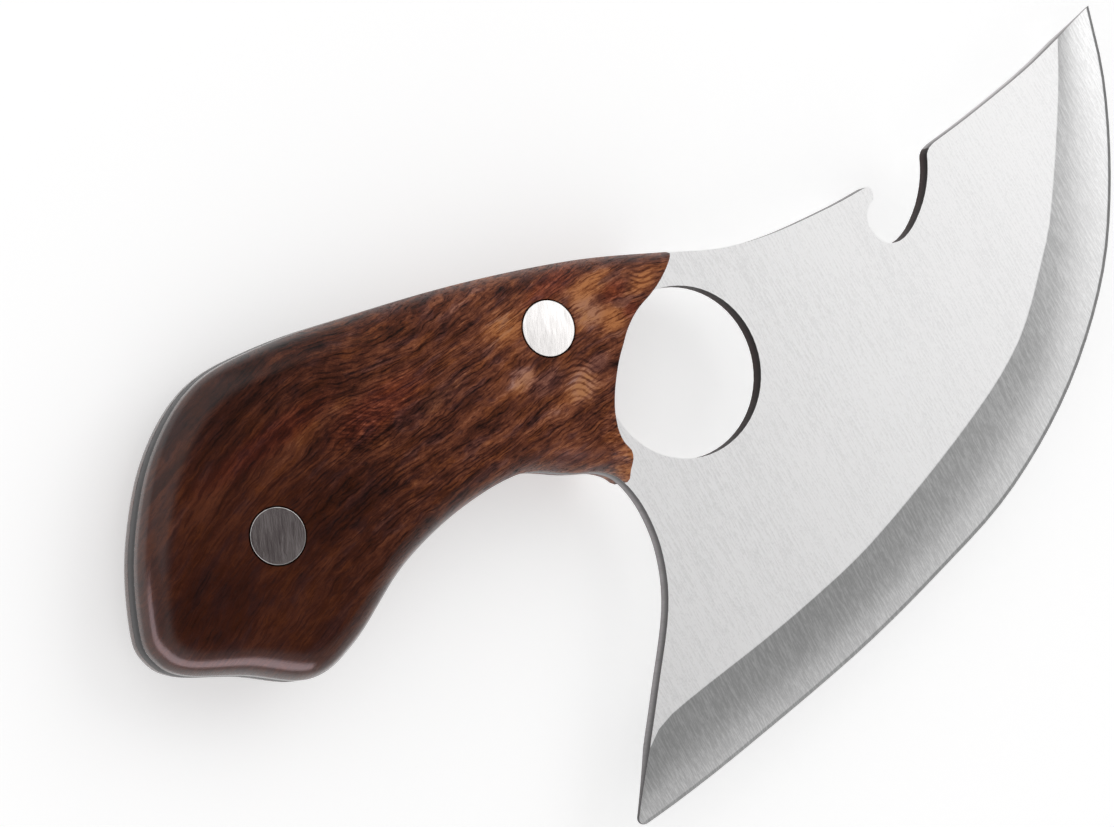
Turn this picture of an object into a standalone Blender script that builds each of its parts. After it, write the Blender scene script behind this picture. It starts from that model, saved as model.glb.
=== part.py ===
# A compact full-tang cleaver: a crescent blade with a finger hole and a hooked
# spine notch, and two wooden handle scales held by two cutler's rivets.
# The design is laid out from the front rivet: +X runs along the line of the rivets
# towards the blade, +Y towards the spine, and +Z through the thickness.
# The finished knife lies on one face, with the middle of its underside at the origin.
import math

import bmesh
import bpy
from mathutils import Vector
from mathutils.geometry import delaunay_2d_cdt

# Fits, in metres like every other size
FIT_GAP = 0.0003
CUT_OVERRUN = 0.002

# Steel plate
PLATE_THICKNESS = 0.0025
POINT_FORWARD = 0.1058
POINT_DROP = 0.0130
HEEL_BACK = 0.0282
EDGE_DROP = 0.0668
HEEL_RADIUS = 0.0009

# Ground bevel, and the fine second bevel at the cutting edge
GRIND_WIDTH = 0.0111
GRIND_HOLLOW = 0.0002
FINE_BEVEL_WIDTH = 0.0006
FINE_BEVEL_THICKNESS = 0.0007
EDGE_LAND = 0.0002

# Finger hole
HOLE_RADIUS = 0.0125
HOLE_FORWARD = 0.0170
HOLE_DROP = 0.0184

# Hooked notch in the spine
HOOK_FORWARD = 0.0573
HOOK_DROP = 0.0136
NOTCH_WIDTH = 0.0138
NOTCH_DEPTH = 0.0095

# Handle outline
HANDLE_LENGTH = 0.0735
HANDLE_RISE = 0.0230
HANDLE_DROP = 0.0204
LOBE_BACK = 0.0002
LOBE_DROP = 0.0258
CORNER_FORWARD = 0.0249
CORNER_DROP = 0.0029

# Handle scales
SCALE_THICKNESS = 0.0080
SCALE_WALL = 0.0007
ROUND_WIDTH = 0.0052
HOLE_SETBACK = 0.0005
CREST_BACK = 0.0100
CREST_DROP = 0.0040

# Cutler's rivets
RIVET_SPACING = 0.0505
HEAD_RADIUS = 0.0040
HEAD_THICKNESS = 0.0020
TUBE_RADIUS = 0.0025
PIN_RADIUS = 0.0014

# Shares of the handle's length behind the front rivet, and of its rise above the rivets
TOP_SHARES = (
    (-0.165, 0.190),
    (0.054, 0.500),
    (0.270, 0.745),
    (0.460, 0.935),
    (0.625, 1.000),
    (0.775, 0.805),
    (0.905, 0.420),
    (0.988, 0.010),
)
# Shares of the same length, and of the handle's drop below the rivets
UNDER_SHARES = (
    (1.000, 0.210),
    (0.970, 0.410),
    (0.872, 0.665),
    (0.768, 0.965),
    (0.655, 0.950),
    (0.490, 0.740),
    (0.330, 0.675),
    (0.180, 0.745),
    (0.082, 0.985),
    (0.028, 1.115),
)
# Shares of the way from the hook back to the front corner of the scales
RAMP_SHARES = ((0.190, 0.084), (0.515, 0.299), (0.760, 0.579))
# Shares of the way from the handle's lobe to the heel of the blade
CHOIL_SHARES = (
    (-0.011, 0.131),
    (0.047, 0.288),
    (0.192, 0.452),
    (0.486, 0.652),
    (0.716, 0.804),
)
# Shares of the way from the heel to the point, along the cutting edge
EDGE_SHARES = (
    (0.000, 0.000),
    (0.062, -0.010),
    (0.155, -0.0147),
    (0.326, -0.009),
    (0.465, 0.021),
    (0.589, 0.069),
    (0.713, 0.184),
    (0.822, 0.358),
    (0.899, 0.557),
    (0.964, 0.796),
    (1.000, 1.000),
)
# How far from the heel the grind meets the choil, and how far from there its upper limit
# has its first points, as shares of the grind's width
GRIND_END_SHARE = 1.080
GRIND_START_SHARES = ((0.108, 0.068), (0.351, 0.144))
# Shares of the cutting edge's length from the heel, and of the grind's width there
GRIND_SHARES = (
    (0.112, 1.010),
    (0.251, 0.980),
    (0.385, 1.000),
    (0.603, 1.000),
    (0.740, 0.994),
    (0.805, 0.952),
    (0.867, 0.885),
    (0.928, 0.770),
)
# Shares of the way from the notch to the point, up to where the grind meets the spine
SPINE_SHARES = ((0.180, -0.080), (0.424, -0.020), (0.600, 0.140), (0.770, 0.520))
# Shares of the notch's width and depth, from the tip of the hook round to the spine
NOTCH_SHARES = (
    (0.000, 0.000),
    (0.060, 0.025),
    (0.070, 0.120),
    (0.035, 0.225),
    (-0.055, 0.262),
    (-0.135, 0.352),
    (-0.184, 0.520),
    (-0.182, 0.720),
    (-0.125, 0.895),
    (0.015, 0.995),
    (0.160, 0.980),
    (0.310, 0.903),
    (0.496, 0.748),
    (0.650, 0.563),
    (0.755, 0.395),
    (0.820, 0.262),
    (0.860, 0.180),
    (0.920, 0.130),
    (1.000, 0.112),
)
# Shares of the way from the hole's rim down to the handle's lobe
LOBE_SHARES = (
    (0.216, 0.080),
    (0.522, 0.229),
    (0.765, 0.392),
    (0.905, 0.564),
    (0.902, 0.679),
    (0.858, 0.754),
    (0.884, 0.830),
    (0.957, 0.905),
)
# How far the scales' crown falls at the butt, the front and the sides,
# as shares of the scales' thickness
BUTT_FALL_SHARE = 0.45
FRONT_FALL_SHARE = 0.25
SIDE_FALL_SHARE = 0.30
# How far past the middle of the plate the pin ends, as a share of the way to the other head
PIN_END_SHARE = 0.70
# How near its own inset a point of the crown may come to the outline
INSET_LIMIT_SHARE = 0.97

# Where the scales leave the hole's rim, seen from the middle of the hole
RIM_START = math.radians(95)
RIM_END = math.radians(130)

# Smoothness
CURVE_STEPS = 5
NOTCH_STEPS = 2
LOBE_STEPS = 2
HEEL_STEPS = 8
EDGE_POINTS = 44
HOLLOW_ROWS = 3
RIM_STEPS = 6
FRONT_STEPS = 8
ROUND_ROWS = 4
CROWN_SPACING = 0.0026
POINT_SPACING = 0.0013
HOLE_SIDES = 64
RIVET_SIDES = 32
SMOOTH_ANGLE = math.radians(30)
SMALLEST = 0.000001


def smooth_path(knots, steps):
    """Points of a smooth curve through the knots, with equal steps in each span."""
    posts = [knots[0] * 2 - knots[1], *knots, knots[-1] * 2 - knots[-2]]
    points = []
    for start in range(len(knots) - 1):
        a, b, c, d = posts[start:start + 4]
        for step in range(steps):
            t = step / steps
            points.append(
                b + (c - a) * t / 2
                + (a * 2 - b * 5 + c * 4 - d) * t ** 2 / 2
                + (b * 3 - a - c * 3 + d) * t ** 3 / 2
            )
    points.append(knots[-1].copy())
    return points


def run_lengths(points):
    """Length of the path up to each of its points."""
    lengths = [0.0]
    for first, second in zip(points, points[1:]):
        lengths.append(lengths[-1] + (second - first).length)
    return lengths


def point_along(points, share):
    """Point of the path, and the direction there, at a share of its length."""
    lengths = run_lengths(points)
    target = lengths[-1] * share
    index = 0
    while index < len(points) - 2 and lengths[index + 1] < target:
        index += 1
    span = points[index + 1] - points[index]
    place = points[index] + span * (target - lengths[index]) / span.length
    return place, span.normalized()


def cut_short(points, rest):
    """The path without its last stretch, whose length is given."""
    lengths = run_lengths(points)
    end = point_along(points, 1 - rest / lengths[-1])[0]
    return [
        point for point, length in zip(points, lengths)
        if lengths[-1] - length > rest + POINT_SPACING / 2
    ] + [end]


def spread(points, count):
    """The same path with a given number of evenly spaced points."""
    return [point_along(points, step / (count - 1))[0] for step in range(count)]


def between(start, end, shares):
    """Points at shares of the way from start to end, along X and Y apart."""
    span = end - start
    return [start + Vector((along * span.x, across * span.y)) for along, across in shares]


def hook_tip():
    return Vector((HOOK_FORWARD, -HOOK_DROP))


def blade_point():
    return Vector((POINT_FORWARD, -POINT_DROP))


def heel_tip():
    return Vector((-HEEL_BACK, -EDGE_DROP))


def lobe_tip():
    return Vector((-LOBE_BACK, -LOBE_DROP))


def scale_corner():
    return Vector((CORNER_FORWARD, -CORNER_DROP))


def hole_centre():
    return Vector((HOLE_FORWARD, -HOLE_DROP))


def rear_rivet():
    return Vector((-RIVET_SPACING, 0))


def back_outline():
    """The outline from the hook over the spine, round the handle and down to the grind.

    Returns the ramp, the handle and the choil as three lists that share their ends."""
    ramp = between(hook_tip(), scale_corner(), RAMP_SHARES)
    top = [Vector((-back * HANDLE_LENGTH, up * HANDLE_RISE)) for back, up in TOP_SHARES]
    under = [Vector((-back * HANDLE_LENGTH, -down * HANDLE_DROP)) for back, down in UNDER_SHARES]
    choil = between(lobe_tip(), heel_tip(), CHOIL_SHARES)
    knots = [hook_tip(), *ramp, scale_corner(), *top, *under, lobe_tip(), *choil, heel_tip()]
    points = smooth_path(knots, CURVE_STEPS)
    corner = knots.index(scale_corner()) * CURVE_STEPS
    lobe = knots.index(lobe_tip()) * CURVE_STEPS
    rest = GRIND_WIDTH * GRIND_END_SHARE
    return points[:corner + 1], points[corner:lobe + 1], cut_short(points[lobe:], rest)


def notch_outline():
    """The hooked notch, from the tip of the hook to the spine in front of it."""
    knots = [
        hook_tip() + Vector((along * NOTCH_WIDTH, -down * NOTCH_DEPTH))
        for along, down in NOTCH_SHARES
    ]
    return smooth_path(knots, NOTCH_STEPS)


def spine_outline(start):
    """The spine in front of the notch, up to where the grind meets it."""
    knots = [start, *between(start, blade_point(), SPINE_SHARES), blade_point()]
    return smooth_path(knots, CURVE_STEPS)[:-CURVE_STEPS]


def edge_outline():
    """The cutting edge, from the heel to the point."""
    knots = between(heel_tip(), blade_point(), EDGE_SHARES)
    return spread(smooth_path(knots, CURVE_STEPS), EDGE_POINTS)


def grind_outline(edge, choil_end, spine_end):
    """The upper limit of the bevel, from the choil to the spine."""
    knots = [choil_end]
    for shares in GRIND_START_SHARES:
        knots.append(choil_end + Vector(shares) * GRIND_WIDTH)
    for place, width in GRIND_SHARES:
        point, along = point_along(edge, place)
        knots.append(point + Vector((-along.y, along.x)) * GRIND_WIDTH * width)
    knots.append(spine_end)
    return spread(smooth_path(knots, CURVE_STEPS), len(edge))


def scale_paths():
    """The two paths round a handle scale, which share their ends.

    The grip runs over the top, round the butt and along the underside, and is rounded over.
    The front is cut upright, from the lobe up past the hole to the corner."""
    grip = back_outline()[1]
    centre = hole_centre()
    radius = HOLE_RADIUS + HOLE_SETBACK
    rim = []
    for step in range(RIM_STEPS + 1):
        turn = RIM_END + (RIM_START - RIM_END) * step / RIM_STEPS
        rim.append(centre + Vector((math.cos(turn), math.sin(turn))) * radius)
    lobe = between(rim[0], lobe_tip(), LOBE_SHARES)
    side = smooth_path([lobe_tip(), *reversed(lobe), rim[0]], LOBE_STEPS)
    front = spread([rim[-1], scale_corner()], FRONT_STEPS + 1)
    return grip, side + rim[1:] + front[1:]


def path_distance(point, path):
    """Distance from a point to the nearest stretch of a path."""
    nearest = math.inf
    for first, second in zip(path, path[1:]):
        side = second - first
        share = (point - first).dot(side) / side.length_squared
        foot = first + side * min(max(share, 0), 1)
        nearest = min(nearest, (point - foot).length)
    return nearest


def inside(point, outline):
    """Whether a point lies within an outline, which may end at its start or one side short."""
    crossings = 0
    for first, second in zip(outline, outline[1:] + outline[:1]):
        if (first.y > point.y) != (second.y > point.y):
            share = (point.y - first.y) / (second.y - first.y)
            crossings += point.x < first.x + (second.x - first.x) * share
    return crossings % 2 == 1


def scale_floor():
    """Height of a scale's inner face above the middle of the plate."""
    return PLATE_THICKNESS / 2 + FIT_GAP


def crown_height(place):
    """Height of a scale's crown above the middle of the plate."""
    along = place.x + CREST_BACK
    across = (place.y + CREST_DROP) / HANDLE_RISE
    if along < 0:
        end_fall = BUTT_FALL_SHARE * (along / (HANDLE_LENGTH - CREST_BACK)) ** 2
    else:
        end_fall = FRONT_FALL_SHARE * (along / (CORNER_FORWARD + CREST_BACK)) ** 2
    fall = end_fall + SIDE_FALL_SHARE * across ** 2
    return scale_floor() + SCALE_THICKNESS * (1 - fall)


def scale_height(place, grip):
    """Height of a scale's outer face, which is rounded over towards the grip's edge."""
    wall = scale_floor() + SCALE_WALL
    inward = min(path_distance(place, grip) / ROUND_WIDTH, 1)
    return wall + (crown_height(place) - wall) * math.sqrt(1 - (1 - inward) ** 2)


def inset_places(grip, front, inset):
    """Places inside a scale, each one inset from a point of the grip's edge."""
    spacing = min(inset, POINT_SPACING)
    places = []
    for before, point, after in zip(grip, grip[1:], grip[2:]):
        along = (after - before).normalized()
        place = point + Vector((-along.y, along.x)) * inset
        if not inside(place, grip[:-1] + front) or path_distance(place, front) < spacing:
            continue
        if path_distance(place, grip) > inset * INSET_LIMIT_SHARE:
            places.append(place)
    return places


def grid_places(outline):
    """Places on a staggered grid inside an outline that ends at its start."""
    low = Vector((min(point.x for point in outline), min(point.y for point in outline)))
    high = Vector((max(point.x for point in outline), max(point.y for point in outline)))
    size = (high - low) / CROWN_SPACING
    places = []
    for column in range(int(size.x) + 1):
        for row in range(int(size.y) + 1):
            place = low + Vector((column + row % 2 / 2, row)) * CROWN_SPACING
            if inside(place, outline) and path_distance(place, outline) > POINT_SPACING:
                places.append(place)
    return places


def crown_places(grip, front):
    """Places that carry a scale's crown, with none too near another."""
    kept = []
    for row in range(1, ROUND_ROWS + 1):
        inset = ROUND_WIDTH * (1 - math.cos(math.pi / 2 * row / ROUND_ROWS))
        spacing = min(inset, POINT_SPACING)
        for place in inset_places(grip, front, inset):
            if all((place - other).length > spacing for other in kept):
                kept.append(place)
    for place in grid_places(grip[:-1] + front):
        if all((place - other).length > POINT_SPACING for other in kept):
            kept.append(place)
    return kept


def wall_faces(bm, lower, upper):
    """Upright faces between two rows of vertices that run the same way."""
    for index in range(len(lower) - 1):
        bm.faces.new((lower[index], lower[index + 1], upper[index + 1], upper[index]))


def plate_side(bm, wall, rows, side):
    """One face of the blade: its flat, and the rows of its bevel. Returns both sets of vertices."""
    rim = [bm.verts.new((point.x, point.y, side * PLATE_THICKNESS / 2)) for point in wall]
    strips = []
    for points, height in rows:
        strips.append([bm.verts.new((point.x, point.y, side * height)) for point in points])
    bm.faces.new(rim + strips[0])
    limit = [rim[-1], *strips[0], rim[0]]
    return rim, [limit, *strips[1:]]


def blade_mesh():
    """The plate with its notch, and the hollow bevel with its fine second bevel."""
    ramp, handle, choil = back_outline()
    notch = notch_outline()
    spine = spine_outline(notch[-1])
    wall = [*reversed(spine[1:]), *reversed(notch), *ramp[1:], *handle[1:], *choil[1:]]
    edge = edge_outline()
    grind = grind_outline(edge, choil[-1], spine[-1])
    half = PLATE_THICKNESS / 2
    fine = FINE_BEVEL_THICKNESS / 2
    rows = [(grind[1:-1], half)]
    for row in range(1, HOLLOW_ROWS + 2):
        share = row / (HOLLOW_ROWS + 1)
        height = half + (fine - half) * share - GRIND_HOLLOW * 4 * share * (1 - share)
        points = []
        for inner, outer in zip(grind, edge):
            across = (1 - FINE_BEVEL_WIDTH / (outer - inner).length) * share
            points.append(inner.lerp(outer, across))
        rows.append((points, height))
    rows.append((edge, EDGE_LAND / 2))

    bm = bmesh.new()
    upper_rim, upper = plate_side(bm, wall, rows, 1)
    lower_rim, lower = plate_side(bm, wall, rows, -1)
    wall_faces(bm, lower_rim, upper_rim)
    wall_faces(bm, lower[-1], upper[-1])
    for strips in (upper, lower):
        for inner, outer in zip(strips, strips[1:]):
            wall_faces(bm, inner, outer)
    for end in (0, -1):
        bm.faces.new([row[end] for row in lower] + [row[end] for row in reversed(upper)])
    return finished(bm, "blade")


def scale_mesh(name, side):
    """A handle scale: flat within, crowned without, on the side of the plate given by a sign."""
    grip, front = scale_paths()
    outline = grip[:-1] + front[:-1]
    places = outline + crown_places(grip, front)
    round_outline = list(range(len(outline)))
    found, _, triangles, _, _, _ = delaunay_2d_cdt(places, [], [round_outline], 1, SMALLEST)
    bm = bmesh.new()
    top = []
    for index, place in enumerate(found):
        height = scale_height(place, grip)
        top.append(bm.verts.new((place.x, place.y, side * height)))
    for triangle in triangles:
        bm.faces.new([top[index] for index in triangle])
    floor = [bm.verts.new((place.x, place.y, side * scale_floor())) for place in outline]
    bm.faces.new(floor)
    rim = top[:len(outline)]
    wall_faces(bm, floor + floor[:1], rim + rim[:1])
    return finished(bm, name)


def turned(bm, profile, sides):
    """Turns a profile of radius and height pairs round Z."""
    verts = [bm.verts.new((radius, 0, height)) for radius, height in profile]
    edges = [bm.edges.new(pair) for pair in zip(verts, verts[1:])]
    bmesh.ops.spin(
        bm,
        geom=verts + edges,
        axis=(0, 0, 1),
        cent=(0, 0, 0),
        steps=sides,
        angle=math.tau,
    )
    bmesh.ops.remove_doubles(bm, verts=bm.verts, dist=SMALLEST)


def seat_height(place):
    """Height of the underside of a rivet's head above the middle of the plate."""
    return crown_height(place) - HEAD_THICKNESS


def head_profile(place):
    """The upper part of a rivet's half: its head, from the underside to the middle of the top."""
    top = crown_height(place)
    rim = [(HEAD_RADIUS, seat_height(place)), (HEAD_RADIUS, top)]
    return rim + [(HEAD_RADIUS / 2, top), (0, top)]


def male_profile(place):
    """A head with a solid pin below it."""
    seat = seat_height(place)
    end = -seat * PIN_END_SHARE
    return [(0, end), (PIN_RADIUS, end), (PIN_RADIUS, seat), *head_profile(place)]


def female_profile(place):
    """A head with a tube below it, which reaches the other half's head."""
    seat = seat_height(place)
    bore = PIN_RADIUS + FIT_GAP
    end = FIT_GAP - seat
    tube = [(0, seat), (bore, seat), (bore, end), (TUBE_RADIUS, end), (TUBE_RADIUS, seat)]
    return tube + head_profile(place)


def rivet_mesh(name, profile, place, side):
    """One half of a rivet, its head ground to the crown of the scale around it."""
    bm = bmesh.new()
    turned(bm, profile, RIVET_SIDES)
    top = crown_height(place)
    for vert in bm.verts:
        if abs(vert.co.z - top) < SMALLEST:
            vert.co.z = crown_height(place + vert.co.xy)
        vert.co.z *= side
    return finished(bm, name)


def bore_mesh(name, place):
    """The space that a rivet takes: a pocket for each head, and a bore between them."""
    pocket = HEAD_RADIUS + FIT_GAP
    bore = TUBE_RADIUS + FIT_GAP
    floor = seat_height(place) - FIT_GAP
    end = crown_height(place) + CUT_OVERRUN
    profile = [
        (0, -end),
        (pocket, -end),
        (pocket, -floor),
        (bore, -floor),
        (bore, floor),
        (pocket, floor),
        (pocket, end),
        (0, end),
    ]
    bm = bmesh.new()
    turned(bm, profile, RIVET_SIDES)
    return finished(bm, name)


def hole_mesh(name):
    """The space of the finger hole."""
    end = PLATE_THICKNESS / 2 + CUT_OVERRUN
    bm = bmesh.new()
    turned(bm, [(0, -end), (HOLE_RADIUS, -end), (HOLE_RADIUS, end), (0, end)], HOLE_SIDES)
    return finished(bm, name)


def heel_mesh(name):
    """The space in front of the heel's rounded nose, between the choil and the edge."""
    tip = heel_tip()
    up = (back_outline()[2][-1] - tip).normalized()
    along = (edge_outline()[1] - tip).normalized()
    half = up.angle(along) / 2
    centre = tip + (up + along).normalized() * HEEL_RADIUS / math.sin(half)
    first = math.atan2(along.y, along.x) + math.pi * 3 / 2
    nose = []
    for step in range(-1, HEEL_STEPS + 2):
        turn = first - (math.pi - half * 2) * (HEEL_STEPS - step) / HEEL_STEPS
        nose.append(centre + Vector((math.cos(turn), math.sin(turn))) * HEEL_RADIUS)
    # Both ends run straight on past the plate's outline
    nose[0] = nose[1] * 2 - nose[2]
    nose[-1] = nose[-2] * 2 - nose[-3]
    nose.append(tip * 2 - centre)
    end = PLATE_THICKNESS / 2 + CUT_OVERRUN
    bm = bmesh.new()
    rings = []
    for height in (-end, end):
        rings.append([bm.verts.new((place.x, place.y, height)) for place in nose])
        bm.faces.new(rings[-1])
    lower, upper = rings
    wall_faces(bm, lower + lower[:1], upper + upper[:1])
    return finished(bm, name)


def finished(bm, name):
    """Turns the faces outwards, shades them smooth between sharp edges, and gives the mesh."""
    bmesh.ops.recalc_face_normals(bm, faces=bm.faces)
    mesh = bpy.data.meshes.new(name)
    bm.to_mesh(mesh)
    bm.free()
    mesh.shade_smooth()
    mesh.set_sharp_from_angle(angle=SMOOTH_ANGLE)
    return mesh


def material(name, colour, roughness, metallic):
    made = bpy.data.materials.new(name)
    made.use_nodes = True
    shader = made.node_tree.nodes["Principled BSDF"]
    shader.inputs["Base Color"].default_value = (*colour, 1)
    shader.inputs["Roughness"].default_value = roughness
    shader.inputs["Metallic"].default_value = metallic
    return made


def satin_steel():
    return material("satin_steel", (0.78, 0.78, 0.77), 0.38, 1)


def rivet_steel():
    return material("rivet_steel", (0.70, 0.70, 0.71), 0.30, 1)


def rosewood():
    return material("rosewood", (0.17, 0.06, 0.025), 0.28, 0)


def add(mesh, place, look, parent):
    """Places a mesh as an object of the knife."""
    made = bpy.data.objects.new(mesh.name, mesh)
    made.location = (place.x, place.y, 0)
    made.parent = parent
    bpy.context.scene.collection.objects.link(made)
    if look:
        mesh.materials.append(look)
    return made


def add_cutter(mesh, place, parent):
    """A helper that only cuts, so it is left out of renders."""
    made = add(mesh, place, None, parent)
    made.hide_render = True
    made.display_type = "WIRE"
    return made


def cut(target, cutter):
    modifier = target.modifiers.new(cutter.name, "BOOLEAN")
    modifier.operation = "DIFFERENCE"
    modifier.object = cutter


def stand_at_origin(knife, pieces):
    """Moves the knife so that the middle of its underside lies at the origin."""
    points = [piece.location + vert.co for piece in pieces for vert in piece.data.vertices]
    low = Vector([min(values) for values in zip(*points)])
    high = Vector([max(values) for values in zip(*points)])
    middle = (low + high) / 2
    knife.location = (-middle.x, -middle.y, -low.z)


def build():
    for old in list(bpy.data.objects):
        bpy.data.objects.remove(old)
    knife = bpy.data.objects.new("cleaver", None)
    bpy.context.scene.collection.objects.link(knife)
    front = Vector((0, 0))
    blade = add(blade_mesh(), front, satin_steel(), knife)
    wood = rosewood()
    scales = [
        add(scale_mesh("front_scale", 1), front, wood, knife),
        add(scale_mesh("back_scale", -1), front, wood, knife),
    ]
    cut(blade, add_cutter(hole_mesh("finger_hole_cut"), hole_centre(), knife))
    cut(blade, add_cutter(heel_mesh("heel_cut"), front, knife))
    steel = rivet_steel()
    rivets = []
    for name, place in (("front_rivet", front), ("rear_rivet", rear_rivet())):
        bore = add_cutter(bore_mesh(name + "_bore", place), place, knife)
        for piece in (blade, *scales):
            cut(piece, bore)
        male = rivet_mesh(name + "_male", male_profile(place), place, 1)
        female = rivet_mesh(name + "_female", female_profile(place), place, -1)
        rivets.append(add(male, place, steel, knife))
        rivets.append(add(female, place, steel, knife))
    stand_at_origin(knife, [blade, *scales, *rivets])


build()
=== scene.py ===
# Full-tang cleaver with a finger hole, dressed for a studio picture
import math

import bmesh
import bpy
import numpy as np
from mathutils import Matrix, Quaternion, Vector
from mathutils.geometry import delaunay_2d_cdt


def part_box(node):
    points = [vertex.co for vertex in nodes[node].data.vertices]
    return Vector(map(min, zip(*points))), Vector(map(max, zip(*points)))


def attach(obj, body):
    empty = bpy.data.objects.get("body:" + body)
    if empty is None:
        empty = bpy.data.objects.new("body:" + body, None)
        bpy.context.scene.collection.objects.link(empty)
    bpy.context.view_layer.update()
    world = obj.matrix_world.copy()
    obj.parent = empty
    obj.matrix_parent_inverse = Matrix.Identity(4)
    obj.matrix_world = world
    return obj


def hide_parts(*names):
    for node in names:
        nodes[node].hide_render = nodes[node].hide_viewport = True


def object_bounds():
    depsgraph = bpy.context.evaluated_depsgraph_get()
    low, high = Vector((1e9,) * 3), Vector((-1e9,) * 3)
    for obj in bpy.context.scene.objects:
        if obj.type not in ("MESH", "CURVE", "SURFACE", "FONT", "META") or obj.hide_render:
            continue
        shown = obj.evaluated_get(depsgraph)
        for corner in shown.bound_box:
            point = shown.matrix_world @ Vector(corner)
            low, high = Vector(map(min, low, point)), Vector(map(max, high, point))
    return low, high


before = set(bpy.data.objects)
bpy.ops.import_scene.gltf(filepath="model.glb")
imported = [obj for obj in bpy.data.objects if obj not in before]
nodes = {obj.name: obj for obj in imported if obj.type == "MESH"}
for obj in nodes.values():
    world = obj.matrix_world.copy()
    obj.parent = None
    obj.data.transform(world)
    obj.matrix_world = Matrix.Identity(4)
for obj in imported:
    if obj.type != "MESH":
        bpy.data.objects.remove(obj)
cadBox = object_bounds()
print("frame loaded:", len(nodes), "solids")

# Everything is placed by the plate's middle plane and the axes of the two rivets
plateLow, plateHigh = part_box("blade")
middle = (plateLow.z + plateHigh.z) / 2
plateHalf = (plateHigh.z - plateLow.z) / 2


def axisOf(node):
    low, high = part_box(node)
    return Vector(((low.x + high.x) / 2, (low.y + high.y) / 2))


frontAxis = axisOf("front_rivet_male")
rearAxis = axisOf("rear_rivet_male")
weldReach = 0.000001  # points nearer than this are one
flatTilt = 0.99999  # a flat face's normal points straight up or down by at least this
roundSides = 96  # of every bore and rivet head


# Small helpers for picking pieces up and shaping them
def leaveEdit():
    if bpy.context.mode != "OBJECT":
        bpy.ops.object.mode_set(mode="OBJECT")


def takeUp(piece):
    leaveEdit()
    bpy.ops.object.select_all(action="DESELECT")
    piece.select_set(True)
    bpy.context.view_layer.objects.active = piece


def nameIt(piece, name):
    piece.name = name
    piece.data.name = name


def copyNode(node, name):
    # A solid's shape as a new piece, with its loose triangles joined
    piece = nodes[node].copy()
    piece.data = nodes[node].data.copy()
    piece.parent = None
    for key in list(piece.keys()):
        del piece[key]
    bpy.context.scene.collection.objects.link(piece)
    piece.hide_render = False
    nameIt(piece, name)
    piece.data.materials.clear()
    takeUp(piece)
    bpy.ops.object.mode_set(mode="EDIT")
    bpy.ops.mesh.select_all(action="SELECT")
    bpy.ops.mesh.remove_doubles(threshold=weldReach)
    leaveEdit()
    return piece


def selectFaces(piece, wanted):
    # Selects in edit mode the faces for which wanted(face) is true
    takeUp(piece)
    bpy.ops.object.mode_set(mode="EDIT")
    bpy.ops.mesh.select_mode(type="FACE")
    bpy.ops.mesh.select_all(action="DESELECT")
    mesh = bmesh.from_edit_mesh(piece.data)
    for face in mesh.faces:
        face.select_set(wanted(face))
    bmesh.update_edit_mesh(piece.data)


def settle(piece):
    # Puts the place, turn and size of a primitive into its mesh
    takeUp(piece)
    bpy.ops.object.transform_apply(location=True, rotation=True, scale=True)


def useModifier(piece, kind, **settings):
    takeUp(piece)
    modifier = piece.modifiers.new(kind.lower(), kind)
    for key, value in settings.items():
        setattr(modifier, key, value)
    bpy.ops.object.modifier_apply(modifier=modifier.name)


# Small helpers for materials
def put(tree, kind, inputs=None, **fields):
    # Adds a node, sets its fields, and gives its inputs a value or a link
    node = tree.nodes.new(kind)
    for key, value in fields.items():
        setattr(node, key, value)
    for key, value in (inputs or {}).items():
        if isinstance(value, bpy.types.NodeSocket):
            tree.links.new(value, node.inputs[key])
        else:
            node.inputs[key].default_value = value
    return node


def calc(tree, operation, first, second=0.0, third=0.0, clamp=False):
    inputs = {0: first, 1: second}
    if operation == "MULTIPLY_ADD":
        inputs[2] = third
    return put(tree, "ShaderNodeMath", inputs, operation=operation, use_clamp=clamp).outputs[0]


def spanOf(tree, value, low, high, toLow=0.0, toHigh=1.0):
    # Smoothly carries a value from one range to another
    inputs = {0: value, 1: low, 2: high, 3: toLow, 4: toHigh}
    return put(tree, "ShaderNodeMapRange", inputs, interpolation_type="SMOOTHSTEP").outputs[0]


def laid(tree, vector, size, turn=(0, 0, 0), shift=(0, 0, 0)):
    # Coordinates for a pattern whose features have this size, along axes turned by this angle
    inputs = {"Vector": vector, "Scale": size, "Rotation": turn, "Location": shift}
    return put(tree, "ShaderNodeMapping", inputs, vector_type="TEXTURE").outputs[0]


def clouds(tree, vector, detail=2.0, roughness=0.5, distortion=0.0):
    inputs = {
        "Vector": vector,
        "Scale": 1.0,
        "Detail": detail,
        "Roughness": roughness,
        "Distortion": distortion,
    }
    return put(tree, "ShaderNodeTexNoise", inputs).outputs["Fac"]


def patternOf(tree, vector, size, shift=(0, 0, 0), turn=0.0, **fineness):
    # Clouds of this size and shift, in millimetres
    return clouds(tree, laid(tree, vector, mm(*size), (0, 0, turn), mm(*shift)), **fineness)


def swayed(tree, value, pattern, share):
    # Adds a share of a pattern, counted from its middle
    return calc(tree, "MULTIPLY_ADD", calc(tree, "SUBTRACT", pattern, 0.5), share, value)


def tint(tree, factor, first, second, mode="MIX"):
    inputs = {0: factor, 6: first, 7: second}
    return put(tree, "ShaderNodeMix", inputs, data_type="RGBA", blend_type=mode).outputs[2]


def colourBand(tree, factor, stops):
    node = put(tree, "ShaderNodeValToRGB", {0: factor})
    band = node.color_ramp
    while len(band.elements) < len(stops):
        band.elements.new(1.0)
    for element, (place, colour) in zip(band.elements, stops):
        element.position = place
        element.color = (*colour, 1)
    return node.outputs[0]


def newMaterial(name):
    made = bpy.data.materials.new(name)
    made.use_nodes = True
    tree = made.node_tree
    return made, tree, tree.nodes["Principled BSDF"]


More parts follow.
